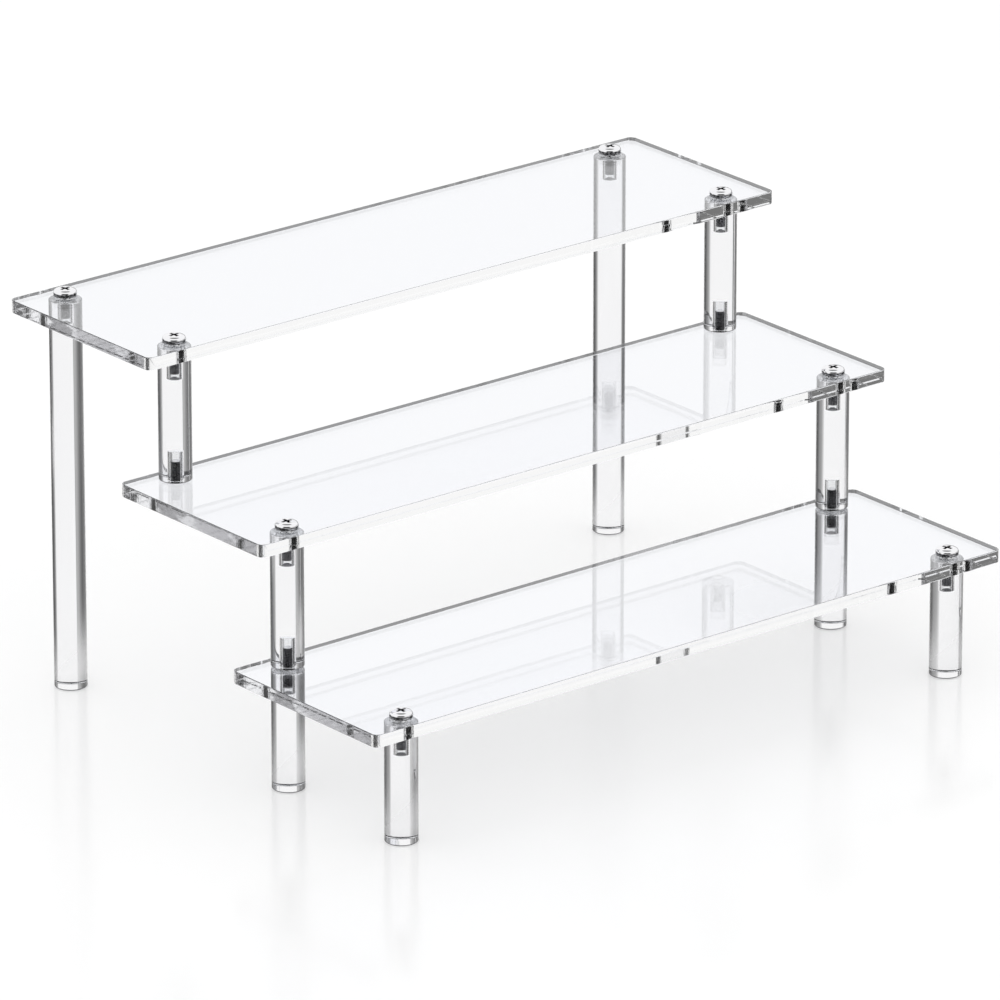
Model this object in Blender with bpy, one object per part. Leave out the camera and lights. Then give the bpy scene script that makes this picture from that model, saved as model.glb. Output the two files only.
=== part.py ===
"""Three-tier display riser of clear acrylic.

Three equal shelves step up from front to back on round posts. Pan-head screws clamp a shelf down on
the posts under it, and headless studs join a post to the shelf that it stands on. The shelves are
long in X, the front of the riser faces -Y, left is -X, and the riser stands on Z = 0.
"""

import math

import bmesh
import bpy

# Shelves: clear sheet with rounded corners and lightly broken edges
shelf_length = 0.300
shelf_depth = 0.085
shelf_thickness = 0.005
shelf_corner_radius = 0.003
shelf_edge_chamfer = 0.0003

# Height of the lowest shelf's upper face, and the step from one shelf to the next
bottom_shelf_height = 0.048
tier_rise = 0.0535

# Middles of the holes in the shelves, from the short and from the long edges
hole_from_end = 0.019
hole_from_edge = 0.0095

# Posts: solid clear rod with square ends and a lightly broken rim
post_diameter = 0.0125
post_end_chamfer = 0.0004

# Thread, taken at its mean diameter, and the room round it in a tapped and in a plain hole
thread_diameter = 0.0036
thread_tip_chamfer = 0.0004
thread_clearance = 0.0003
hole_clearance = 0.0005

# Blind bores in the post ends: how far each runs on past its thread, and the drill's shallow cone
top_bore_run_on = 0.0026
foot_bore_run_on = 0.0043
bore_cone_depth = 0.0004

# Pan-head screws: length under the head, the head and its cross recess
screw_length = 0.012
head_diameter = 0.0088
head_height = 0.0026
head_side_height = 0.0011
head_crown_power = 3
recess_span = 0.0037
recess_slot = 0.0009
recess_depth = 0.0014
recess_floor_share = 0.45

# Headless studs: how far they stand out above and below the shelf that they pass through
stud_rise = 0.0075
stud_drop = 0.0065

# Gap between pieces that touch, and how far a cutter reaches past what it cuts
contact_gap = 0.0003
cut_overrun = 0.001

# How finely round shapes are divided, and how far each screw is turned past the one before
post_sides = 32
thread_sides = 24
corner_steps = 6
crown_steps = 5
smooth_angle = math.radians(35)
screw_turn = math.radians(37)

# Places that follow from the sizes above
thread_radius = thread_diameter / 2
tapped_radius = thread_radius + thread_clearance
plain_radius = thread_radius + hole_clearance
hole_x = shelf_length / 2 - hole_from_end
hole_y = shelf_depth / 2 - hole_from_edge
tier_step = 2 * hole_y

# Upper face and middle in Y of each shelf: a shelf's front holes are over the rear holes below it
shelf_heights = {
    "bottom": bottom_shelf_height,
    "middle": bottom_shelf_height + tier_rise,
    "top": bottom_shelf_height + 2 * tier_rise,
}
shelf_middles = {"bottom": -tier_step, "middle": 0, "top": tier_step}
sides = {"left": -1, "right": 1}

# Looks of the pieces: clear and slightly cooler sheet, clear rod, bright and dull plated steel
sheet_look = {"colour": (0.93, 0.94, 0.95), "roughness": 0.03, "metallic": 0.0, "transmission": 1.0}
rod_look = {"colour": (0.90, 0.90, 0.91), "roughness": 0.04, "metallic": 0.0, "transmission": 1.0}
screw_look = {"colour": (0.80, 0.80, 0.81), "roughness": 0.12, "metallic": 1.0, "transmission": 0.0}
stud_look = {"colour": (0.42, 0.42, 0.43), "roughness": 0.32, "metallic": 1.0, "transmission": 0.0}


def principled(name, colour, roughness, metallic, transmission):
    """Material with one piece's colour, roughness, metallic value and clearness."""
    material = bpy.data.materials.new(name)
    material.use_nodes = True
    shader = material.node_tree.nodes["Principled BSDF"]
    shader.inputs["Base Color"].default_value = (*colour, 1)
    shader.inputs["Roughness"].default_value = roughness
    shader.inputs["Metallic"].default_value = metallic
    shader.inputs["Transmission Weight"].default_value = transmission
    material.diffuse_color = (*colour, 1)
    return material


def add(name, mesh, parent, location=(0, 0, 0), turn=0):
    """New object at its place under its parent, turned about Z."""
    thing = bpy.data.objects.new(name, mesh)
    bpy.context.collection.objects.link(thing)
    thing.parent = parent
    thing.location = location
    thing.rotation_euler.z = turn
    return thing


def add_piece(name, mesh, parent, location, look, turn=0):
    """One piece of the riser, with a material of its own even where pieces share a mesh."""
    if not mesh.materials:
        mesh.materials.append(None)
    piece = add(name, mesh, parent, location, turn)
    slot = piece.material_slots[0]
    slot.link = "OBJECT"
    slot.material = principled(f"{name}_material", **look)
    return piece


def cut(piece, name, mesh, location=(0, 0, 0)):
    """Takes the mesh's shape out of the piece, at a place measured from the piece's own origin."""
    cutter = add(name, mesh, piece, location)
    cutter.hide_render = True
    cutter.display_type = "WIRE"
    boolean = piece.modifiers.new(name, "BOOLEAN")
    boolean.operation = "DIFFERENCE"
    boolean.solver = "EXACT"
    boolean.object = cutter


def finished_mesh(name, shape):
    """Mesh made from a bmesh, smooth on its curves and sharp at its edges."""
    mesh = bpy.data.meshes.new(name)
    shape.to_mesh(mesh)
    shape.free()
    mesh.shade_smooth()
    mesh.set_sharp_from_angle(angle=smooth_angle)
    return mesh


def turned(name, profile, count):
    """Solid turned round Z, from (radius, height) points that start and end on the axis."""
    shape = bmesh.new()
    rings = []
    for radius, height in profile:
        around = count if radius else 1
        angles = [math.tau * k / count for k in range(around)]
        rings.append([
            shape.verts.new((radius * math.cos(angle), radius * math.sin(angle), height))
            for angle in angles
        ])
    for lower, upper in zip(rings, rings[1:]):
        for k in range(count):
            after = (k + 1) % count
            if len(lower) == 1:
                corners = (lower[0], upper[after], upper[k])
            elif len(upper) == 1:
                corners = (lower[k], lower[after], upper[0])
            else:
                corners = (lower[k], lower[after], upper[after], upper[k])
            shape.faces.new(corners)
    return finished_mesh(name, shape)


def stacked(name, outlines):
    """Solid through outlines of equal point counts, flat at the first and at the last."""
    shape = bmesh.new()
    loops = [[shape.verts.new(point) for point in outline] for outline in outlines]
    count = len(loops[0])
    for lower, upper in zip(loops, loops[1:]):
        for k in range(count):
            after = (k + 1) % count
            shape.faces.new((lower[k], lower[after], upper[after], upper[k]))
    shape.faces.new(reversed(loops[0]))
    shape.faces.new(loops[-1])
    return finished_mesh(name, shape)


def shelf_outline(inset, height):
    """Rounded rectangle at one height, drawn in from the shelf's edge by inset."""
    points = []
    radius = shelf_corner_radius - inset
    for corner, (side_x, side_y) in enumerate(((1, 1), (-1, 1), (-1, -1), (1, -1))):
        centre_x = side_x * (shelf_length / 2 - shelf_corner_radius)
        centre_y = side_y * (shelf_depth / 2 - shelf_corner_radius)
        for k in range(corner_steps + 1):
            angle = math.pi / 2 * (corner + k / corner_steps)
            x = centre_x + radius * math.cos(angle)
            y = centre_y + radius * math.sin(angle)
            points.append((x, y, height))
    return points


def shelf_mesh():
    """Shelf with its underside on Z = 0 and a small chamfer all round both faces."""
    return stacked("shelf", [
        shelf_outline(shelf_edge_chamfer, 0),
        shelf_outline(0, shelf_edge_chamfer),
        shelf_outline(0, shelf_thickness - shelf_edge_chamfer),
        shelf_outline(shelf_edge_chamfer, shelf_thickness),
    ])


def hole_mesh(name, radius):
    """Cylinder that drills one hole right through a shelf."""
    return turned(name, [
        (0, -cut_overrun),
        (radius, -cut_overrun),
        (radius, shelf_thickness + cut_overrun),
        (0, shelf_thickness + cut_overrun),
    ], thread_sides)


def post_mesh(name, length, top_bore_depth, foot_bore_depth):
    """Rod on Z = 0 with a blind bore in its top and, where the depth isn't zero, one in its foot."""
    post_radius = post_diameter / 2
    rim_radius = post_radius - post_end_chamfer
    if foot_bore_depth:
        profile = [
            (0, foot_bore_depth + bore_cone_depth),
            (tapped_radius, foot_bore_depth),
            (tapped_radius, 0),
        ]
    else:
        profile = [(0, 0)]
    profile += [
        (rim_radius, 0),
        (post_radius, post_end_chamfer),
        (post_radius, length - post_end_chamfer),
        (rim_radius, length),
        (tapped_radius, length),
        (tapped_radius, length - top_bore_depth),
        (0, length - top_bore_depth - bore_cone_depth),
    ]
    return turned(name, profile, post_sides)


def stud_mesh(name, length):
    """Threaded stud on Z = 0 with chamfered ends."""
    tip_radius = thread_radius - thread_tip_chamfer
    return turned(name, [
        (0, 0),
        (tip_radius, 0),
        (thread_radius, thread_tip_chamfer),
        (thread_radius, length - thread_tip_chamfer),
        (tip_radius, length),
        (0, length),
    ], thread_sides)


def screw_mesh():
    """Pan-head screw: underside of the head on Z = 0, shank below, low crown above."""
    head_radius = head_diameter / 2
    tip_radius = thread_radius - thread_tip_chamfer
    crown_height = head_height - head_side_height
    profile = [
        (0, -screw_length),
        (tip_radius, -screw_length),
        (thread_radius, thread_tip_chamfer - screw_length),
        (thread_radius, 0),
        (head_radius, 0),
    ]
    # The crown is a quarter of a superellipse, which is flatter on top than an ellipse
    for k in range(crown_steps):
        angle = math.pi / 2 * k / crown_steps
        radius = head_radius * math.cos(angle) ** (2 / head_crown_power)
        height = head_side_height + crown_height * math.sin(angle) ** (2 / head_crown_power)
        profile.append((radius, height))
    profile.append((0, head_height))
    return turned("pan_head_screw", profile, thread_sides)


def recess_mesh():
    """Tapered cross for the driver, wide above the head and narrow at the floor of the recess."""
    half_span = recess_span / 2
    half_slot = recess_slot / 2
    cross = []
    for quarter in range(4):
        cosine = math.cos(math.pi / 2 * quarter)
        sine = math.sin(math.pi / 2 * quarter)
        # Inner corner before each arm, then the two corners at the arm's end
        for along, across in ((half_slot, -half_slot), (half_span, -half_slot), (half_span, half_slot)):
            cross.append((along * cosine - across * sine, along * sine + across * cosine))
    taper = (1 - recess_floor_share) / recess_depth
    outlines = []
    for depth in (recess_depth, -cut_overrun):
        share = 1 - taper * depth
        outlines.append([(share * x, share * y, head_height - depth) for x, y in cross])
    return stacked("cross_recess", outlines)


for leftover in list(bpy.data.objects):
    bpy.data.objects.remove(leftover)

riser = add("riser", None, None)

# Shelves with two holes along the front and two along the rear. Only the middle shelf's rear holes
# are tapped, because no leg clamps it from below there.
shelf_blank = shelf_mesh()
plain_hole = hole_mesh("plain_hole", plain_radius)
tapped_hole = hole_mesh("tapped_hole", tapped_radius)
for tier, height in shelf_heights.items():
    location = (0, shelf_middles[tier], height - shelf_thickness)
    shelf = add_piece(f"{tier}_shelf", shelf_blank, riser, location, sheet_look)
    rear_hole = tapped_hole if tier == "middle" else plain_hole
    for side, sign in sides.items():
        cut(shelf, f"{tier}_front_hole_{side}", plain_hole, (sign * hole_x, -hole_y, 0))
        cut(shelf, f"{tier}_rear_hole_{side}", rear_hole, (sign * hole_x, hole_y, 0))

# How far a screw reaches into the post under its shelf, and a stud into the posts at its two ends
screw_reach = screw_length - shelf_thickness - 2 * contact_gap
stud_reach_up = stud_rise - contact_gap
stud_reach_down = stud_drop - contact_gap

# Posts: name, row in Y, shelf stood on (None for the table), shelf carried, reach of the thread that
# enters the top
posts = (
    ("rear_leg", shelf_middles["top"] + hole_y, None, "top", screw_reach),
    ("upper_post", shelf_middles["top"] - hole_y, "middle", "top", screw_reach),
    ("lower_post", shelf_middles["middle"] - hole_y, "bottom", "middle", screw_reach),
    ("middle_leg", shelf_middles["bottom"] + hole_y, None, "bottom", stud_reach_down),
    ("front_leg", shelf_middles["bottom"] - hole_y, None, "bottom", screw_reach),
)
for name, row, stood_on, carried, top_reach in posts:
    foot = shelf_heights[stood_on] + contact_gap if stood_on else 0
    length = shelf_heights[carried] - shelf_thickness - contact_gap - foot
    foot_bore_depth = stud_reach_up + foot_bore_run_on if stood_on else 0
    mesh = post_mesh(name, length, top_reach + top_bore_run_on, foot_bore_depth)
    for side, sign in sides.items():
        add_piece(f"{name}_{side}", mesh, riser, (sign * hole_x, row, foot), rod_look)

# Pan-head screws: name, row in Y and the shelf that the head bears on. Each stops at its own angle.
screws = (
    ("top_rear_screw", shelf_middles["top"] + hole_y, "top"),
    ("top_front_screw", shelf_middles["top"] - hole_y, "top"),
    ("middle_front_screw", shelf_middles["middle"] - hole_y, "middle"),
    ("bottom_front_screw", shelf_middles["bottom"] - hole_y, "bottom"),
)
screw_blank = screw_mesh()
cross_recess = recess_mesh()
turn = 0
for name, row, tier in screws:
    height = shelf_heights[tier] + contact_gap
    for side, sign in sides.items():
        location = (sign * hole_x, row, height)
        screw = add_piece(f"{name}_{side}", screw_blank, riser, location, screw_look, turn)
        cut(screw, f"{name}_{side}_recess", cross_recess)
        turn += screw_turn

# Headless studs: name, row in Y, shelf and how far they reach below it. Those of the bottom shelf
# enter the legs under it, and those of the middle shelf end flush with its underside.
studs = (
    ("bottom_rear_stud", shelf_middles["bottom"] + hole_y, "bottom", stud_drop),
    ("middle_rear_stud", shelf_middles["middle"] + hole_y, "middle", 0),
)
for name, row, tier, drop in studs:
    foot = shelf_heights[tier] - shelf_thickness - drop
    mesh = stud_mesh(name, drop + shelf_thickness + stud_rise)
    for side, sign in sides.items():
        add_piece(f"{name}_{side}", mesh, riser, (sign * hole_x, row, foot), stud_look)
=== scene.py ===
import math

import bpy
import numpy as np
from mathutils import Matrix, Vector
from mathutils.geometry import tessellate_polygon


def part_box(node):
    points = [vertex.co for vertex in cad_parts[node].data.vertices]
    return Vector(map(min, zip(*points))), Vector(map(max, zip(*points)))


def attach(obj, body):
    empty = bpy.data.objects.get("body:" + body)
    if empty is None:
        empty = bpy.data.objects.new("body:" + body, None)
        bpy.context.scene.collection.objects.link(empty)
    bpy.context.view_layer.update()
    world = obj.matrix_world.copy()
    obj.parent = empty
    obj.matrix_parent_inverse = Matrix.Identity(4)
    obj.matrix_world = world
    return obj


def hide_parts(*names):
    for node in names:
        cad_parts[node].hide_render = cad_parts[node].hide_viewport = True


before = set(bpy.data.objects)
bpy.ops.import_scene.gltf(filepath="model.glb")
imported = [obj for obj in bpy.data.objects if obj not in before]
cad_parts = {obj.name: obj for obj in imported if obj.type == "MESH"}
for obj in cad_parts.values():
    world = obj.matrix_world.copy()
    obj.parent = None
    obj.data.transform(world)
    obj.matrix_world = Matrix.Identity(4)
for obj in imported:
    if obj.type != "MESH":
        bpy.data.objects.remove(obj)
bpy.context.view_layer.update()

# Shelves: three equal boards cut from 5 mm clear cast acrylic sheet, with small round corners.
# Their edges are milled and flame polished, so they keep a faint ripple across the thickness, and
# each board is drilled near its corners for the screws and studs.
MM = 0.001
corner_radius = 3.0 * MM
corner_points = 17
edge_round = 0.3 * MM
rim_points = 6
hole_radius = 2.25 * MM
hole_mouth = 0.15 * MM
around_hole = 48
# Distance of one more ring or point from the end of a rounding, so the straight part stays straight
support = 0.04 * MM
clear_acrylic = {"Roughness": 0.0, "IOR": 1.49, "Transmission Weight": 1.0}


def linear(hex_colour):
    """sRGB hex colour as linear RGBA: ((c + 0.055) / 1.055) ** 2.4 above the dark toe, c / 12.92 in
    it."""
    channels = [int(hex_colour[k:k + 2], 16) / 255 for k in (1, 3, 5)]
    toed = [c / 12.92 if c <= 0.04045 else ((c + 0.055) / 1.055) ** 2.4 for c in channels]
    return (*toed, 1.0)


def add_node(tree, kind, inputs=None, **settings):
    """Adds one node. Settings are its properties, inputs its sockets' values or what feeds them."""
    made = tree.nodes.new(kind)
    for name, value in settings.items():
        setattr(made, name, value)
    for name, value in (inputs or {}).items():
        if isinstance(value, bpy.types.NodeSocket):
            tree.links.new(value, made.inputs[name])
        else:
            made.inputs[name].default_value = value
    return made


def calculate(tree, operation, *values, **settings):
    """Result of a Math node over two or three values, each a number or an output."""
    return add_node(tree, "ShaderNodeMath", dict(enumerate(values)), operation=operation,
                    **settings).outputs[0]


def new_finish(name, constants):
    """A new material, its node tree and its shader, with constants on the shader's own sockets."""
    finish = bpy.data.materials.new(name)
    finish.use_nodes = True
    shader = finish.node_tree.nodes["Principled BSDF"]
    for socket, value in constants.items():
        shader.inputs[socket].default_value = value
    return finish, finish.node_tree, shader


def object_noise(tree, scale, detail, stretch=(1.0, 1.0, 1.0), turn=(0.0, 0.0, 0.0)):
    """Noise over the piece's own coordinates in metres, stretched, then turned, then scaled."""
    place = add_node(tree, "ShaderNodeTexCoord").outputs["Object"]
    if stretch != (1.0, 1.0, 1.0):
        place = add_node(tree, "ShaderNodeMapping",
                         {"Vector": place, "Rotation": turn, "Scale": stretch}).outputs["Vector"]
    return add_node(tree, "ShaderNodeTexNoise",
                    {"Vector": place, "Scale": scale, "Detail": detail}).outputs["Fac"]


def feed_bump(tree, shader, height, strength, distance):
    """Gives the shader a bump of the height's shape, distance metres deep at full strength."""
    measures = {"Height": height, "Strength": strength, "Distance": distance}
    bump = add_node(tree, "ShaderNodeBump", measures)
    tree.links.new(bump.outputs["Normal"], shader.inputs["Normal"])


def ramp_colour(tree, factor, stops):
    """Colour of a ramp over the factor. Stops are (place, linear RGBA), rising from 0 to 1."""
    ramp = add_node(tree, "ShaderNodeValToRGB", {"Fac": factor})
    elements = ramp.color_ramp.elements
    for place, colour in stops:
        stop = elements[0] if place == 0 else elements[-1] if place == 1 else elements.new(place)
        stop.color = colour
    return ramp.outputs["Color"]


def feed_mottle(tree, shader, factor, darkest, lightest):
    """Gives the shader a base colour between two sRGB hex colours, by a factor from 0 to 1."""
    tone = ramp_colour(tree, factor, [(0, linear(darkest)), (1, linear(lightest))])
    tree.links.new(tone, shader.inputs["Base Color"])


def rounding(radius, points):
    """Inset and height of a quarter round, for angles a from 0 to 90 degrees: radius (1 - sin a)
    and radius (1 - cos a)."""
    bend = np.radians(np.linspace(0, 90, points))
    return radius * (1 - np.sin(bend)), radius * (1 - np.cos(bend))


def tube_quads(rings, around, first=0):
    """Quads of a closed tube whose points are numbered ring by ring: corners (k, k + 1) on one ring
    and the same two on the next ring, wrapping round at the last point."""
    ring = np.arange(rings - 1)[:, None] * around
    here = np.arange(around)[None, :]
    after = (here + 1) % around
    above = ring + around
    quads = np.stack([ring + here, ring + after, above + after, above + here], axis=-1)
    return first + quads.reshape(-1, 4)


def make_piece(name, points, faces, flat, finishes, finish_of_face, stands_for):
    mesh = bpy.data.meshes.new(name)
    mesh.from_pydata(points, [], faces)
    mesh.polygons.foreach_set("use_smooth", np.logical_not(flat))
    for finish in finishes:
        mesh.materials.append(finish)
    mesh.polygons.foreach_set("material_index", np.asarray(finish_of_face, np.int32))
    mesh.update()
    piece = bpy.data.objects.new(name, mesh)
    bpy.context.scene.collection.objects.link(piece)
    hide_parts(stands_for)
    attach(piece, "root")
    return piece


def write_shares(mesh, name, shares):
    """Gives each point of a mesh one number, which a material reads by name."""
    values = shares.reshape(-1).astype(np.float32)
    mesh.attributes.new(name, "FLOAT", "POINT").data.foreach_set("value", values)


def board_outline(half_length, half_depth):
    """Points (x, y) round the board and the way out at each: a quarter circle at each corner, with
    one more point just past each of its ends, so that the straight edges stay exactly straight."""
    angles = np.radians(np.linspace(0, 90, corner_points))
    points = []
    normals = []
    for corner, (side_x, side_y) in enumerate(((1, 1), (-1, 1), (-1, -1), (1, -1))):
        turned = angles + corner * math.pi / 2
        out = np.stack([np.cos(turned), np.sin(turned)], axis=1)
        centre = np.array([side_x * (half_length - corner_radius),
                           side_y * (half_depth - corner_radius)])
        arc = centre + corner_radius * out
        along = np.array([[-out[0][1], out[0][0]], [-out[-1][1], out[-1][0]]])
        points += [arc[:1] - support * along[:1], arc, arc[-1:] + support * along[1:]]
        normals += [out[:1], out, out[-1:]]
    return np.concatenate(points), np.concatenate(normals)


def cap(loops, upward):
    """Triangles of a flat face between an outer loop and the loops of its holes, in threes of
    indices, facing up or down."""
    triples = tessellate_polygon([[Vector((x, y, 0)) for x, y in loop] for loop in loops])
    triples = np.array(triples)
    flat = np.concatenate(loops)
    a, b, c = (flat[triples[:, k]] for k in range(3))
    area = (b[:, 0] - a[:, 0]) * (c[:, 1] - a[:, 1]) - (b[:, 1] - a[:, 1]) * (c[:, 0] - a[:, 0])
    wrong = (area < 0) == upward
    triples[wrong] = triples[wrong][:, ::-1]
    return triples


# Cast faces are optically flat: they only swell by a few thousandths of a millimetre over 40 mm
cast_sheet, tree, shader = new_finish("cast acrylic sheet, as cast",
                                      {**clear_acrylic, "Base Color": linear("#f8f9fc")})
feed_bump(tree, shader, object_noise(tree, 25.0, 1.0), 1.0, 0.004 * MM)

# The cutter leaves a ripple across the thickness about every 1.5 mm, which polishing only softens
cast_edge, tree, shader = new_finish("cast acrylic sheet, milled and polished edge",
                                     {**clear_acrylic, "Base Color": linear("#ffffff")})
feed_bump(tree, shader, object_noise(tree, 1.0, 2.0, stretch=(650.0, 650.0, 60.0)), 0.12, 0.05 * MM)

# The end that was sawn last carries painted light: grey bands of painted shade and pale bands of
# painted reflection, the widest at the rear, moved by saw streaks 3 to 10 mm long that lean across
# the thickness.
sawn_end_painted_light, tree, shader = new_finish("cast acrylic sheet, sawn end, painted reflections and shade",
                                    {**clear_acrylic, "Roughness": 0.02})
streak = object_noise(tree, 1.0, 3.0, stretch=(1.0, 110.0, 420.0), turn=(0.35, 0.0, 0.0))
from_rear = add_node(tree, "ShaderNodeAttribute", attribute_name="from_rear").outputs["Fac"]
uneven = calculate(tree, "SUBTRACT", streak, 0.5)
shifted = calculate(tree, "MULTIPLY_ADD", uneven, 0.35, from_rear)
# Tones along the end from the rear: the grey ones are painted shade, the pale ones painted
# reflection
painted_end_tones = ((0, "#77777b"), (0.1, "#77777b"), (0.14, "#e6e7ec"), (0.25, "#dcdde2"),
             (0.3, "#58585c"), (0.42, "#626266"), (0.47, "#bfc0c6"), (0.53, "#8c8c92"),
             (0.76, "#7c7c82"), (0.81, "#b4b5bc"), (0.86, "#7c7c82"), (1, "#5a5a5e"))
bands = ramp_colour(tree, shifted, [(place, linear(tone)) for place, tone in painted_end_tones])
tree.links.new(bands, shader.inputs["Base Color"])

# The thin rims at the right end carry painted shade: dark grey, dull and uneven every few mm
rim_painted_shade, tree, shader = new_finish(
    "cast acrylic sheet, right rim, matt, painted shade",
    {**clear_acrylic, "Roughness": 0.1, "Transmission Weight": 0.25})
feed_mottle(tree, shader, object_noise(tree, 300.0, 2.0), "#3a3a3d", "#6a6a6e")

sheet_finishes = [cast_sheet, cast_edge, sawn_end_painted_light, rim_painted_shade]
as_cast, milled, sawn, painted_shade_rim = range(4)
rows = {"top": ("rear_leg", "upper_post"), "middle": ("upper_post", "lower_post"),
        "bottom": ("lower_post", "front_leg")}
circle = np.linspace(0, 2 * math.pi, around_hole, endpoint=False)
for tier, posts in rows.items():
    low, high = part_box(f"{tier}_shelf")
    middle = (low + high) / 2
    thickness = high.z - low.z
    outline, outward = board_outline((high.x - low.x) / 2, (high.y - low.y) / 2)
    outline = outline + np.array([middle.x, middle.y])
    # Inset and height of each ring up the edge: rounded at both faces and straight between
    insets, heights = rounding(edge_round, rim_points)
    insets = np.concatenate([insets, [0, 0], insets[::-1]])
    heights = np.concatenate([heights, [edge_round + support, thickness - edge_round - support],
                              thickness - heights[::-1]])
    wall = np.empty((len(insets), len(outline), 3))
    wall[:, :, :2] = outline[None] - insets[:, None, None] * outward[None]
    wall[:, :, 2] = low.z + heights[:, None]
    points = [wall.reshape(-1, 3)]
    faces = [tube_quads(len(insets), len(outline))]
    first = len(points[0])
    bottom_loops = [wall[0]]
    top_loops = [wall[-1]]
    bottom_index = [np.arange(len(outline))]
    top_index = [np.arange(len(outline)) + (len(insets) - 1) * len(outline)]
    for post in posts:
        for side in ("left", "right"):
            post_low, post_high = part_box(f"{post}_{side}")
            spot = (post_low + post_high) / 2
            mouth = hole_radius + hole_mouth
            radii = np.array([mouth, hole_radius, hole_radius, mouth])
            levels = np.array([0, hole_mouth, thickness - hole_mouth, thickness])
            bore = np.empty((len(radii), around_hole, 3))
            bore[:, :, 0] = spot.x + radii[:, None] * np.cos(circle)
            bore[:, :, 1] = spot.y + radii[:, None] * np.sin(circle)
            bore[:, :, 2] = low.z + levels[:, None]
            points.append(bore.reshape(-1, 3))
            faces.append(tube_quads(len(radii), around_hole, first)[:, ::-1])
            bottom_loops.append(bore[0])
            top_loops.append(bore[-1])
            bottom_index.append(first + np.arange(around_hole))
            top_index.append(first + np.arange(around_hole) + (len(radii) - 1) * around_hole)
            first += len(radii) * around_hole
    walls = np.concatenate(faces)
    under = np.concatenate(bottom_index)[cap([loop[:, :2] for loop in bottom_loops], False)]
    over = np.concatenate(top_index)[cap([loop[:, :2] for loop in top_loops], True)]
    flat = [False] * len(walls) + [True] * (len(under) + len(over))
    # The rounded rims are flamed smooth like the faces, but painted dark grey on the right, a
    # painted shade. The sawn end is the wall between the two left corners, where the way out is -X.
    edge_finish = np.full((len(insets) - 1, len(outline)), milled)
    lower_rim = slice(None, rim_points - 1)
    upper_rim = slice(1 - rim_points, None)
    to_left = outward[:, 0] < -0.999
    to_right = outward[:, 0] > 0.5
    for rim in (lower_rim, upper_rim):
        edge_finish[rim] = as_cast
    edge_finish[:, np.roll(to_left, -1) & to_left] = sawn
    for rim in (lower_rim, upper_rim):
        edge_finish[rim, to_right] = painted_shade_rim
    finish_of_face = [milled] * len(walls) + [as_cast] * (len(under) + len(over))
    finish_of_face[:edge_finish.size] = edge_finish.reshape(-1).tolist()
    points = np.concatenate(points)
    faces = walls.tolist() + under.tolist() + over.tolist()
    board = make_piece(f"{tier}_board", points.tolist(), faces, flat, sheet_finishes,
                       finish_of_face, f"{tier}_shelf")
    write_shares(board.data, "from_rear", (high.y - points[:, 1]) / (high.y - low.y))

# Posts and legs: 12.5 mm clear acrylic rod, sawn square and faced, with blind holes drilled and
# tapped for the screws and studs. The rod's skin keeps fine draw lines, and the tapped holes show
# as grey sleeves round the threads.
thread_pitch = 0.7 * MM
tapped_radius = 1.98 * MM
tapped_groove = 0.005 * MM
mouth_round = 0.25 * MM
drill_cone = 0.4 * MM
rim_round = 0.35 * MM
foot_round = 0.45 * MM
around_rod = 160
# The solids leave 0.3 mm at each joint, and the visible pieces close all of it but 0.05 mm
joint_closing = 0.25 * MM


def remap(tree, value, low, high, to_low=0.0, to_high=1.0, **settings):
    """Result of a Map Range node: low becomes to_low, high becomes to_high, clamped beyond them."""
    ends = {"Value": value, "From Min": low, "From Max": high, "To Min": to_low, "To Max": to_high}
    return add_node(tree, "ShaderNodeMapRange", ends, **settings).outputs["Result"]


def tooth(turns):
    """Thread shape, from -1 at the root to 1 at the crest: a triangle wave of the number of turns,
    stretched by 1.25 and clipped, which leaves the narrow flats of a real thread."""
    wave = 4 * np.abs(turns - np.floor(turns) - 0.5) - 1
    return np.clip(1.25 * wave, -1, 1)


def turned_solid(radii, heights, grooves, around, centre):
    """Grid of a turned piece: x = r cos u, y = r sin u, z = height(v), where r(u, v) is
    radius(v) + groove(v) * tooth(height(v) / pitch - u / 2 pi). Radius zero at the first and the
    last ring closes it."""
    angle = np.linspace(0, 2 * math.pi, around, endpoint=False)[None, :]
    radii, heights, grooves = (np.asarray(values)[:, None] for values in (radii, heights, grooves))
    reach = radii + grooves * tooth(heights / thread_pitch - angle / (2 * math.pi))
    grid = np.empty((len(radii), around, 3))
    grid[:, :, 0] = centre[0] + reach * np.cos(angle)
    grid[:, :, 1] = centre[1] + reach * np.sin(angle)
    grid[:, :, 2] = centre[2] + heights
    return grid


def closed_turning(grid):
    """Points and faces of a turned grid whose first and last rings are single points: fans of
    triangles at the two poles and quads between."""
    rings, around = grid.shape[:2]
    inner = grid[1:-1].reshape(-1, 3)
    points = np.concatenate([grid[:1, 0], inner, grid[-1:, 0]])
    here = np.arange(around)
    after = (here + 1) % around
    last = 1 + (rings - 3) * around
    start = np.stack([np.zeros(around, int), 1 + after, 1 + here], axis=1)
    end = np.stack([last + here, last + after, np.full(around, len(points) - 1)], axis=1)
    quads = tube_quads(rings - 2, around, 1)
    return points, start.tolist() + quads.tolist() + end.tolist()


def bore_profile(depth):
    """Radius, height below the mouth and groove of a tapped blind hole, from its mouth to its
    centre: a rounded mouth, the threaded wall, and the drill's shallow cone."""
    steps = max(2, round((depth - 2 * mouth_round) / (thread_pitch / 8)))
    drop = np.linspace(mouth_round, depth - mouth_round, steps)
    from_end = np.minimum(drop - mouth_round, depth - mouth_round - drop)
    fade = np.clip(from_end / (0.5 * thread_pitch), 0, 1)
    radii = np.concatenate([[tapped_radius + mouth_round], np.full(steps, tapped_radius),
                            [tapped_radius, 0.93 * tapped_radius, 0]])
    drops = np.concatenate([[0], drop, [depth - 0.2 * mouth_round, depth, depth + drill_cone]])
    grooves = np.concatenate([[0], tapped_groove * fade, [0, 0, 0]])
    return radii, drops, grooves


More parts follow.
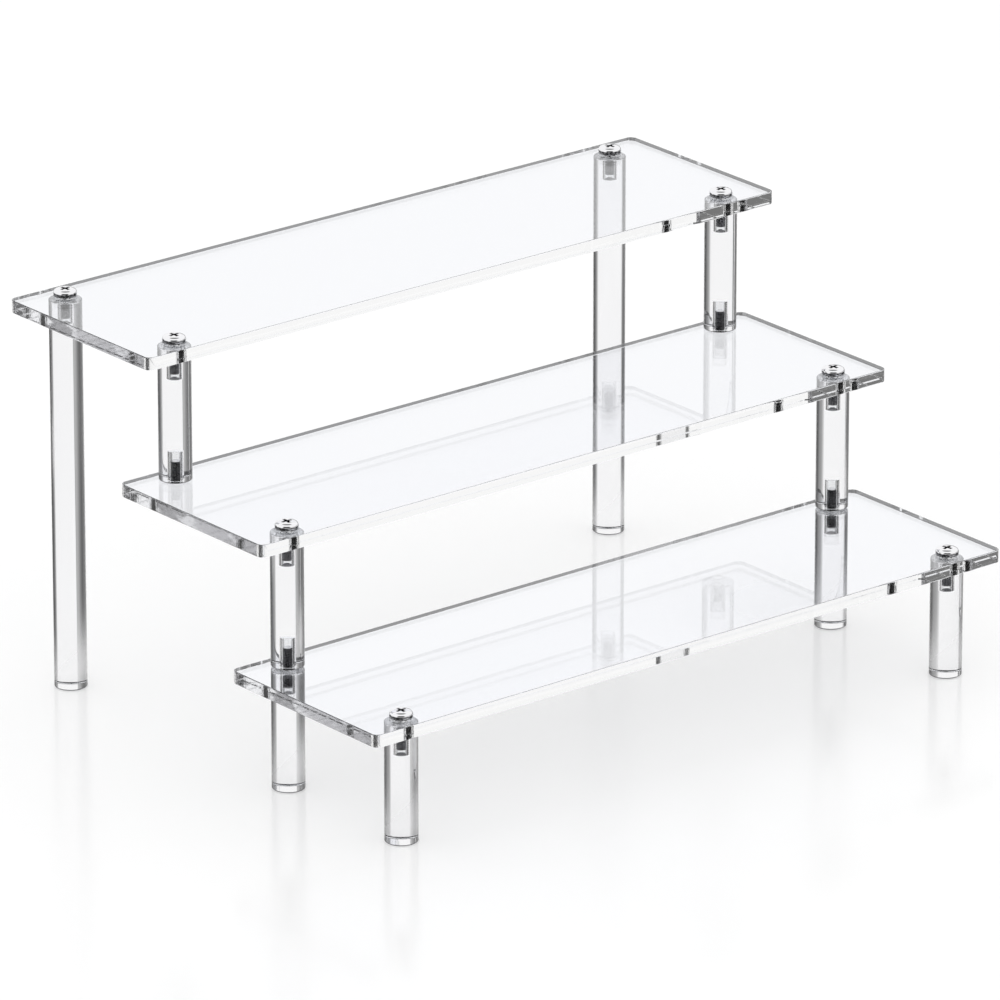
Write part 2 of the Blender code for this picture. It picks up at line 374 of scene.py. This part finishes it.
# Draw lines run down the rod, a few tenths of a millimetre apart, too shallow to blur it
rod_skin, tree, shader = new_finish("acrylic rod, drawn and polished",
                                    {**clear_acrylic, "Base Color": linear("#fdfdfe")})
draw_lines = object_noise(tree, 1.0, 2.0, stretch=(1500.0, 1500.0, 12.0))
feed_bump(tree, shader, draw_lines, 0.06, 0.04 * MM)

# A drill and a tap leave torn, slightly milky walls with a grain of about a quarter millimetre
rod_cut, tree, shader = new_finish("acrylic rod, faced and tapped",
                                   {**clear_acrylic, "Base Color": linear("#f4f5f6")})
grain = object_noise(tree, 4000.0, 3.0)
tree.links.new(remap(tree, grain, 0.3, 0.7, 0.0, 0.04), shader.inputs["Roughness"])
feed_bump(tree, shader, grain, 0.1, 0.04 * MM)

# The rim of the foot and the bottoms of the holes are left from the tool, so they stay matt, with
# turning marks a tenth of a millimetre apart; their near-black colour is painted shade
rod_matt_painted_shade, tree, shader = new_finish("acrylic rod, turned foot rim and drilled bottom, matt",
                                    {**clear_acrylic, "Roughness": 0.12})
marks = object_noise(tree, 1.0, 2.0, stretch=(700.0, 700.0, 9000.0))
feed_mottle(tree, shader, marks, "#0a0a0b", "#242427")

rod_finishes = [rod_skin, rod_cut, rod_matt_painted_shade]
skin, faced, matt = range(3)
# Depth in millimetres of the tapped holes in the top and in the foot, zero for a plain foot
bore_depths = {"rear_leg": (9.0, 0), "upper_post": (9.0, 11.5), "lower_post": (9.0, 11.5),
               "middle_leg": (8.8, 0), "front_leg": (9.0, 0)}
for name, (top_depth, foot_depth) in bore_depths.items():
    for side in ("left", "right"):
        low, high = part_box(f"{name}_{side}")
        rod_radius = (high.x - low.x) / 2
        foot_gap = -joint_closing if foot_depth else 0
        length = high.z - low.z - foot_gap + joint_closing
        rim_insets, rim_heights = rounding(rim_round, rim_points)
        foot_insets, foot_heights = rounding(foot_round, rim_points)
        if foot_depth:
            foot = [values[::-1] for values in bore_profile(foot_depth * MM)]
        else:
            foot = [np.array([0, 0.5 * rod_radius]), np.zeros(2), np.zeros(2)]
        top_radii, top_drops, top_grooves = bore_profile(top_depth * MM)
        straight = [foot_round + support, length - rim_round - support]
        radii = np.concatenate([foot[0], rod_radius - foot_insets, [rod_radius] * len(straight),
                                rod_radius - rim_insets[::-1], top_radii])
        heights = np.concatenate([foot[1], foot_heights, straight, length - rim_heights[::-1],
                                  length - top_drops])
        side_rings = 2 * rim_points + len(straight)
        grooves = np.concatenate([foot[2], np.zeros(side_rings), top_grooves])
        centre = ((low.x + high.x) / 2, (low.y + high.y) / 2, low.z + foot_gap)
        points, faces = closed_turning(turned_solid(radii, heights, grooves, around_rod, centre))
        # Bands of faces between rings, from the foot up: its bore or plain end, its rim, the side,
        # the upper rim, the top end and its bore
        bands = len(radii) - 1
        foot_bands = len(foot[0])
        finish_of_band = np.full(bands, faced)
        finish_of_band[foot_bands:foot_bands + side_rings - 1] = skin
        # The foot's rim and the bottom of the top bore are painted near black as shade
        finish_of_band[foot_bands:foot_bands + rim_points - 1] = matt
        finish_of_band[-2:] = matt
        flat = np.zeros(bands, bool)
        flat[[foot_bands - 1, foot_bands + side_rings - 1]] = True
        if not foot_depth:
            flat[0] = True
        make_piece(f"{name}_rod_{side}", points.tolist(), faces, np.repeat(flat, around_rod),
                   rod_finishes, np.repeat(finish_of_band, around_rod), f"{name}_{side}")

# Screws: M4 pan-head machine screws, 12 mm long, cold formed in steel and bright chromed. The head
# is a low dome on an upright side, and the driver has a tapered cross recess pressed into it.
crest_radius = 1.85 * MM
root_radius = 1.53 * MM
mean_radius = (crest_radius + root_radius) / 2
shank_length = 12.0 * MM
neck_length = 0.3 * MM
neck_radius = 1.9 * MM
tip_chamfer = 0.12 * MM
head_radius = 4.4 * MM
head_height = 2.6 * MM
head_side = 0.75 * MM
head_round = 0.2 * MM
crown_power = 3.0
crown_points = 36
arm_half_span = 2.1 * MM
arm_half_width = 0.64 * MM
arm_lean = 0.1 * MM
recess_depth = 1.3 * MM
recess_reach = 2.5 * MM
# Middle and half width of the painted dark line (painted shade) round the foot of the crown, from
# the top of the side up
dark_line_height = 0.22 * MM
dark_line_half = 0.19 * MM
around_screw = 144


def threaded_shank(top, bottom):
    """Radius, height and groove of a threaded length from its lower end up: a chamfered tip, then
    the thread at its mean radius with half its depth as groove, fading out at both ends."""
    start = bottom + tip_chamfer
    steps = round((top - start) / (thread_pitch / 10))
    level = np.linspace(start, top, steps)
    from_end = np.minimum(level - bottom - tip_chamfer, top - level)
    fade = np.clip(from_end / (0.2 * thread_pitch), 0, 1)
    radii = np.concatenate([[0, mean_radius - tip_chamfer], np.full(steps, mean_radius)])
    heights = np.concatenate([[bottom, bottom], level])
    grooves = np.concatenate([[0, 0], (crest_radius - root_radius) / 2 * fade])
    return radii, heights, grooves


def pressed_cross(x, y):
    """Share of the recess's depth at a point: the larger of two crossed arms, each one across its
    length times across its width, with walls that lean in by a tenth of a millimetre."""
    arms = []
    for along, across in ((x, y), (y, x)):
        end = np.clip((arm_half_span - np.abs(along)) / (3 * arm_lean), 0, 1)
        wall = np.clip((arm_half_width - np.abs(across)) / arm_lean, 0, 1)
        arms.append(end * wall)
    return np.maximum(*arms)


# Bright plating over steel: a mirror with faint orange peel. Painted shade darkens it and makes it
# satin: almost black in the recess, dark under the head, and in a line round the foot of the crown
chromed, tree, shader = new_finish("steel, cold formed and chromed", {"Metallic": 1.0})
peel = object_noise(tree, 2500.0, 2.0)
feed_bump(tree, shader, peel, 0.1, 0.03 * MM)
painted_head_shade = add_node(tree, "ShaderNodeAttribute", attribute_name="painted_head_shade").outputs["Fac"]
painted_head_tones = ((0, "#f4f4f6"), (0.5, "#69696c"), (1, "#121214"))
tone = ramp_colour(tree, painted_head_shade, [(share, linear(tone)) for share, tone in painted_head_tones])
tree.links.new(tone, shader.inputs["Base Color"])
rough = calculate(tree, "MULTIPLY_ADD", painted_head_shade, 0.3, remap(tree, peel, 0.3, 0.7, 0.03, 0.08))
tree.links.new(rough, shader.inputs["Roughness"])

# The rolled thread is satin, with stains about a millimetre long, and darker than the head by
# painted shade
thread_steel, tree, shader = new_finish("steel, rolled thread, satin, painted shade",
                                        {"Metallic": 1.0, "Roughness": 0.2})
feed_mottle(tree, shader, object_noise(tree, 1100.0, 3.0), "#505052", "#8c8c8e")

# Inside a shelf the thread is painted black, a painted shade that shows through the edge, a little
# patchy
thread_painted_black, tree, shader = new_finish("steel, rolled thread, painted black shade",
                                        {"Metallic": 1.0, "Roughness": 0.25})
feed_mottle(tree, shader, object_noise(tree, 1100.0, 3.0), "#060607", "#141416")

screw_finishes = [chromed, thread_steel, thread_painted_black]
bright, rolled, painted_black = range(3)
# Angle in degrees at which each recess stopped
screw_turns = {"top_rear_screw_left": 6, "top_rear_screw_right": 15, "top_front_screw_left": 4,
               "top_front_screw_right": 9, "middle_front_screw_left": -4,
               "middle_front_screw_right": 10, "bottom_front_screw_left": 2,
               "bottom_front_screw_right": 12}
sheet_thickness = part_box("top_shelf")[1].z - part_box("top_shelf")[0].z
for name, degrees in screw_turns.items():
    low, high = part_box(name)
    centre = ((low.x + high.x) / 2, (low.y + high.y) / 2, high.z - head_height - joint_closing)
    shank_radii, shank_heights, shank_grooves = threaded_shank(-neck_length, -shank_length)
    lower_insets, lower_heights = rounding(head_round, 5)
    # The crown is a superellipse from the top of the side to the middle of the head: z rises to
    # (1 - (r / R) ^ power) ^ (1 / power) of its height. Its rings are closest where the recess is.
    turned_in = math.acos((recess_reach / head_radius) ** (crown_power / 2))
    falling = np.cos(np.linspace(0, turned_in, crown_points)) ** (2 / crown_power)
    inside = np.linspace(recess_reach, 0, crown_points)[1:]
    crown_radii = np.concatenate([head_radius * falling, inside])
    rise = np.clip(1 - (crown_radii / head_radius) ** crown_power, 0, 1) ** (1 / crown_power)
    crown_heights = head_side + (head_height - head_side) * rise
    radii = np.concatenate([shank_radii, [neck_radius], head_radius - lower_insets,
                            [head_radius] * 2, crown_radii])
    heights = np.concatenate([shank_heights, [0], lower_heights,
                              [head_round + support, head_side - support], crown_heights])
    grooves = np.concatenate([shank_grooves, np.zeros(len(radii) - len(shank_grooves))])
    grid = turned_solid(radii, heights, grooves, around_screw, (0, 0, 0))
    crown_start = len(radii) - len(crown_radii)
    turn = math.radians(degrees)
    x, y = grid[crown_start:, :, 0], grid[crown_start:, :, 1]
    depth_share = pressed_cross(x * math.cos(turn) + y * math.sin(turn),
                                y * math.cos(turn) - x * math.sin(turn))
    grid[crown_start:, :, 2] -= recess_depth * depth_share
    grid += np.array(centre)
    # Painted shade: dark under the head and round the foot of the side, a dark line round the foot
    # of the crown, and black from the lip of the recess down
    painted_head_shade_share = np.zeros(grid.shape[:2])
    painted_head_shade_share[:crown_start] = 0.8
    painted_head_shade_share[crown_start - 2:crown_start] = 0.1
    from_line = np.abs(crown_heights - head_side - dark_line_height)
    rim = np.clip(1.3 - from_line / dark_line_half, 0, 1)
    painted_head_shade_share[crown_start:] = np.maximum(0.85 * rim[:, None], np.clip(5 * depth_share, 0, 1))
    points, faces = closed_turning(grid)
    bands = len(radii) - 1
    flat = np.zeros(bands, bool)
    flat[[0, len(shank_radii), len(shank_radii) - 1]] = True
    # Bands of faces from the tip up: thread in the post, thread in the shelf painted black as
    # shade, head
    finish_of_band = np.full(bands, bright)
    finish_of_band[:len(shank_radii)] = np.where(shank_heights < -sheet_thickness, rolled, painted_black)
    bolt = make_piece(f"{name}_bolt", points.tolist(), faces, np.repeat(flat, around_screw),
                      screw_finishes, np.repeat(finish_of_band, around_screw), name)
    write_shares(bolt.data, "painted_head_shade", np.concatenate([painted_head_shade_share[:1, 0], painted_head_shade_share[1:-1].reshape(-1),
                                                    painted_head_shade_share[-1:, 0]]))

# Studs: M4 threaded rod, zinc plated dull grey and sawn to length, with bright ends. Those of the
# bottom shelf run on into the legs below it, and those of the middle shelf end flush with its
# underside.
end_inset = 0.15 * MM
around_stud = 96

# Zinc over a rolled thread is satin and blotchy at about a millimetre
plated, tree, shader = new_finish("steel stud, rolled thread, zinc plated", {"Metallic": 1.0})
blotch = object_noise(tree, 900.0, 3.0)
feed_mottle(tree, shader, blotch, "#2e2e30", "#626264")
tree.links.new(remap(tree, blotch, 0.0, 1.0, 0.22, 0.4), shader.inputs["Roughness"])

# The saw leaves the ends bare and bright, with fine parallel marks
cut_steel, tree, shader = new_finish("steel stud, sawn end, bright",
                                     {"Metallic": 1.0, "Roughness": 0.15})
marks = object_noise(tree, 1.0, 2.0, stretch=(9000.0, 600.0, 600.0))
feed_mottle(tree, shader, marks, "#d6d6d8", "#f6f6f8")

stud_finishes = [plated, thread_painted_black, cut_steel]
for name, tier in (("middle_rear_stud", "middle"), ("bottom_rear_stud", "bottom")):
    shelf_low, shelf_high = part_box(f"{tier}_shelf")
    for side in ("left", "right"):
        low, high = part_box(f"{name}_{side}")
        length = high.z - low.z
        radii, heights, grooves = threaded_shank(length - end_inset, 0)
        radii = np.concatenate([radii, [mean_radius - end_inset, 0]])
        heights = np.concatenate([heights, [length, length]])
        grooves = np.concatenate([grooves, [0, 0]])
        centre = ((low.x + high.x) / 2, (low.y + high.y) / 2, low.z)
        points, faces = closed_turning(turned_solid(radii, heights, grooves, around_stud, centre))
        bands = len(radii) - 1
        ends = [0, bands - 1]
        flat = np.zeros(bands, bool)
        flat[ends] = True
        # Zinc outside the shelf, thread painted black (painted shade) inside it, sawn steel at both
        # ends
        levels = low.z + heights[:-1]
        finish_of_band = ((levels > shelf_low.z) & (levels < shelf_high.z)).astype(int)
        finish_of_band[ends] = 2
        make_piece(f"{name}_{side}_rod", points.tolist(), faces, np.repeat(flat, around_stud),
                   stud_finishes, np.repeat(finish_of_band, around_stud), f"{name}_{side}")

# Table: a white lacquered top, flat and smooth, that gives back a soft reflection of the legs.
# Light from the acrylic passes through it to the studio, except for most of it in a painted pool
# of light beside each leg, where the table stays bright.
camera_azimuth = math.radians(39.22)
heading = np.array([math.sin(camera_azimuth), math.cos(camera_azimuth), 0])
rightward = np.array([heading[1], -heading[0], 0])
floor_half = 8.0
floor_points = 241
floor_level = -0.02 * MM
painted_spot_width = 28 * MM
painted_spot_distance = 22 * MM


def on_stage(name, points, faces):
    """A mesh object that belongs to the studio and not to the riser."""
    mesh = bpy.data.meshes.new(name)
    mesh.from_pydata(points, [], faces)
    made = bpy.data.objects.new(name, mesh)
    bpy.context.scene.collection.objects.link(made)
    return made


def mix_shaders(tree, share, first, second):
    """First shader where the share is 0 and second where it is 1."""
    return add_node(tree, "ShaderNodeMixShader", {"Fac": share, 1: first, 2: second}).outputs[0]


def rough_mirror(tree, paths):
    """1 for a ray given back by metal or by the table, whose gloss is rough, and 0 for one from the
    polished acrylic: glossy times not singular."""
    return calculate(tree, "MULTIPLY", paths["Is Glossy Ray"],
                     calculate(tree, "SUBTRACT", 1.0, paths["Is Singular Ray"]))


# The grid's lines stand closest under the riser: floor_half sinh(5 s) / sinh(5) for s from -1 to 1
reach = floor_half * np.sinh(5 * np.linspace(-1, 1, floor_points)) / np.sinh(5)
x, y = np.meshgrid(reach, reach)
cells = np.arange(floor_points - 1)
corner = (cells[:, None] * floor_points + cells[None, :]).reshape(-1)
quads = np.stack([corner, corner + 1, corner + floor_points + 1, corner + floor_points], axis=-1)
places = np.stack([x, y, np.full_like(x, floor_level)], axis=-1).reshape(-1, 3)
table = on_stage("table_top", places.tolist(), quads.tolist())
# A painted pool of light beside each leg, standing for light it gathers, on its far left: a
# Gaussian of 28 mm
spot = np.zeros_like(x)
away = painted_spot_distance * math.sqrt(0.5) * (heading - rightward)
for leg in ("rear_leg", "middle_leg", "front_leg"):
    for side in ("left", "right"):
        low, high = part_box(f"{leg}_{side}")
        foot = (low + high) / 2
        distance = (x - foot.x - away[0]) ** 2 + (y - foot.y - away[1]) ** 2
        spot = np.maximum(spot, np.exp(-distance / (2 * painted_spot_width ** 2)))
write_shares(table.data, "spot", spot)

lacquer, tree, shader = new_finish("white lacquer, rubbed smooth", {})
tree.nodes.remove(shader)
paths = add_node(tree, "ShaderNodeLightPath").outputs
white = add_node(tree, "ShaderNodeBsdfDiffuse", {"Color": linear("#c6c6c6")})
gloss = add_node(tree, "ShaderNodeBsdfGlossy", {"Color": linear("#ffffff"), "Roughness": 0.16})
surface = mix_shaders(tree, 0.14, white.outputs[0], gloss.outputs[0])
lift = add_node(tree, "ShaderNodeEmission", {"Color": linear("#ffffff"), "Strength": 0.405})
lifted = add_node(tree, "ShaderNodeAddShader", {0: surface, 1: lift.outputs[0]}).outputs[0]
clear = add_node(tree, "ShaderNodeBsdfTransparent").outputs[0]
# In the painted pools of light only 40 % of the rays from the acrylic pass through
painted_light_here = add_node(tree, "ShaderNodeAttribute", attribute_name="spot").outputs["Fac"]
mirrored = calculate(tree, "MULTIPLY", paths["Is Glossy Ray"], paths["Is Singular Ray"])
from_acrylic = calculate(tree, "MAXIMUM", paths["Is Transmission Ray"], mirrored)
through = calculate(tree, "MULTIPLY", from_acrylic, remap(tree, painted_light_here, 0.0, 1.0, 1.0, 0.4))
seen = mix_shaders(tree, through, lifted, clear)
tree.links.new(seen, tree.nodes["Material Output"].inputs["Surface"])
table.data.materials.append(lacquer)

# Panel: a white screen 0.89 m wide, hung 0.76 m behind the riser, with grey cloth down both sides.
# It shows only through the acrylic, where its edges make the dark bands at the sides of the rods.
panel_distance = 0.759
panel_left = -0.439
panel_right = 0.452
panel_half_height = 2
cloth = 0.115
width = panel_right - panel_left + 2 * cloth
corners = [(panel_left - cloth, -panel_half_height), (panel_right + cloth, -panel_half_height),
           (panel_right + cloth, panel_half_height), (panel_left - cloth, panel_half_height)]


def grey(level):
    """Linear grey as RGBA."""
    return (level, level, level, 1)


def dot(tree, vector, axis):
    """How far a vector reaches along an axis."""
    return add_node(tree, "ShaderNodeVectorMath", {0: vector, 1: tuple(axis)},
                    operation="DOT_PRODUCT").outputs["Value"]


panel = on_stage("white_panel", [tuple(panel_distance * heading + side * rightward + (0, 0, level))
                                 for side, level in corners], [(0, 1, 2, 3)])
panel.visible_camera = False
panel.visible_diffuse = False
panel.visible_shadow = False
screen, tree, shader = new_finish("white screen, lit evenly, with grey cloth at its sides", {})
tree.nodes.remove(shader)
place = add_node(tree, "ShaderNodeTexCoord").outputs["Object"]
across = remap(tree, dot(tree, place, rightward), panel_left - cloth, panel_right + cloth)
# Brightness at each distance in metres from the panel's left end
stops = ((0, 0.42), (cloth - 0.055, 0.5), (cloth - 0.012, 0.44), (cloth - 0.003, 0.3), (cloth, 1.0),
         (width - cloth - 0.02, 1.0), (width - cloth + 0.004, 0.78), (width - cloth + 0.05, 0.6),
         (width, 0.42))
tones = ramp_colour(tree, across, [(reach / width, grey(level)) for reach, level in stops])
glow = add_node(tree, "ShaderNodeEmission", {"Color": tones, "Strength": 1.0}).outputs[0]
clear = add_node(tree, "ShaderNodeBsdfTransparent").outputs[0]
from_metal = rough_mirror(tree, add_node(tree, "ShaderNodeLightPath").outputs)
seen = mix_shaders(tree, from_metal, glow, clear)
tree.links.new(seen, tree.nodes["Material Output"].inputs["Surface"])
panel.data.materials.append(screen)

# Studio: a bright ceiling over darker walls. Towards the slope at which the acrylic is looked
# through, the walls are grey beside the panel and almost black behind the camera. At other slopes
# white windows stand every 45 degrees between dark piers.
patch_rise = math.radians(64)
to_patch = heading * math.cos(patch_rise) + np.array([0, 0, math.sin(patch_rise)])


def mix_colours(tree, factor, first, second):
    """First colour where the factor is 0, second where it is 1, each an output or RGBA."""
    return add_node(tree, "ShaderNodeMix", {"Factor": factor, 6: first, 7: second},
                    data_type="RGBA").outputs[2]


world = bpy.data.worlds.new("studio")
bpy.context.scene.world = world
world.use_nodes = True
tree = world.node_tree
paths = add_node(tree, "ShaderNodeLightPath").outputs
towards = add_node(tree, "ShaderNodeTexCoord").outputs["Generated"]
height = add_node(tree, "ShaderNodeSeparateXYZ", {"Vector": towards}).outputs["Z"]
steep = calculate(tree, "ABSOLUTE", height)
azimuth = calculate(tree, "ARCTAN2", dot(tree, towards, rightward), dot(tree, towards, heading))
# Brightness of the walls at each azimuth in degrees, counted to the right of the camera's heading
brightness = ((-180, 0.03), (-120, 0.03), (-100, 0.2), (-84, 0.19), (-72, 0.19), (-66, 0.2),
              (-54, 0.22), (-46, 0.14), (-39, 0.18), (-34, 0.25), (-30, 0.36), (-26, 0.45),
              (-15, 0.8), (0, 1.0), (15, 0.8), (26, 0.45), (35, 0.36), (40, 0.33), (46, 0.28),
              (52, 0.15), (60, 0.08), (76, 0.05), (92, 0.2), (112, 0.2), (125, 0.03), (180, 0.03))
walls = ramp_colour(tree, remap(tree, azimuth, -math.pi, math.pi),
                    [((degrees + 180) / 360, grey(level)) for degrees, level in brightness])
# Eight windows: where the cosine of eight times the azimuth, counted from +Y, is above zero
wave = calculate(tree, "COSINE", calculate(tree, "MULTIPLY_ADD", azimuth, 8.0, 8 * camera_azimuth))
windows = remap(tree, wave, 0.0, 0.25, 0.08, 1.0, interpolation_type="SMOOTHSTEP")
slope = calculate(tree, "MULTIPLY", remap(tree, steep, 0.3, 0.308),
                  remap(tree, steep, 0.392, 0.4, 1.0, 0.0))
around = mix_colours(tree, slope, windows, walls)
open_share = remap(tree, steep, 0.5, 0.7, interpolation_type="SMOOTHSTEP")
studio = mix_colours(tree, open_share, around, grey(1))
# What bright metal shows: a white room down to the horizon, a grey foot below it, a low black
# flag to the right, a grey patch high above the panel, and the dark room behind the camera
storey_tones = ((-1, 0.9), (-0.4, 0.9), (-0.33, 0.25), (-0.02, 0.25), (0.04, 1.0), (1, 1.0))
storeys = ramp_colour(tree, remap(tree, height, -1.0, 1.0),
                      [((rise + 1) / 2, grey(level)) for rise, level in storey_tones])
behind = remap(tree, calculate(tree, "ABSOLUTE", azimuth), 2.4, 2.7)
room = calculate(tree, "MULTIPLY", behind, calculate(tree, "LESS_THAN", height, 0.75))
flag = calculate(tree, "MULTIPLY", remap(tree, azimuth, -0.01, 0.04),
                 remap(tree, height, 0.12, 0.16, 1.0, 0.0))
patch = remap(tree, dot(tree, towards, to_patch), math.cos(math.radians(17)),
              math.cos(math.radians(11)), 0.0, 0.8)
shade = calculate(tree, "MAXIMUM", calculate(tree, "MAXIMUM", room, flag), patch)
on_metal = mix_colours(tree, shade, storeys, grey(0.03))
reflected = mix_colours(tree, rough_mirror(tree, paths), studio, on_metal)
# The camera and the diffuse light see plain white
plain = calculate(tree, "ADD", paths["Is Camera Ray"], paths["Is Diffuse Ray"], use_clamp=True)
light = mix_colours(tree, plain, reflected, grey(1))
tree.links.new(light, tree.nodes["Background"].inputs["Color"])
tree.nodes["Background"].inputs["Strength"].default_value = 1.0

# Camera: a long lens 4 m away, at the height and side of the photograph and level with its horizon.
# The colours are shown as they are, and light is followed through many acrylic faces, which stand
# one behind another.
camera_rise = math.radians(20.43)
camera_distance = 4.0
target = np.array([-5.2, -1.18, 73.27]) * MM
camera_data = bpy.data.cameras.new("camera")
camera = bpy.data.objects.new("camera", camera_data)
bpy.context.scene.collection.objects.link(camera)
bpy.context.scene.camera = camera
back = np.array([-heading[0] * math.cos(camera_rise), -heading[1] * math.cos(camera_rise),
                 math.sin(camera_rise)])
camera.location = target + camera_distance * back
camera.rotation_euler = Vector(-back).to_track_quat("-Z", "Y").to_euler()
camera_data.sensor_width = 36
camera_data.lens = 386.4
camera_data.clip_end = 60
bpy.context.scene.view_settings.view_transform = "Standard"
for kind in ("max_bounces", "glossy_bounces", "transmission_bounces"):
    setattr(bpy.context.scene.cycles, kind, 64)
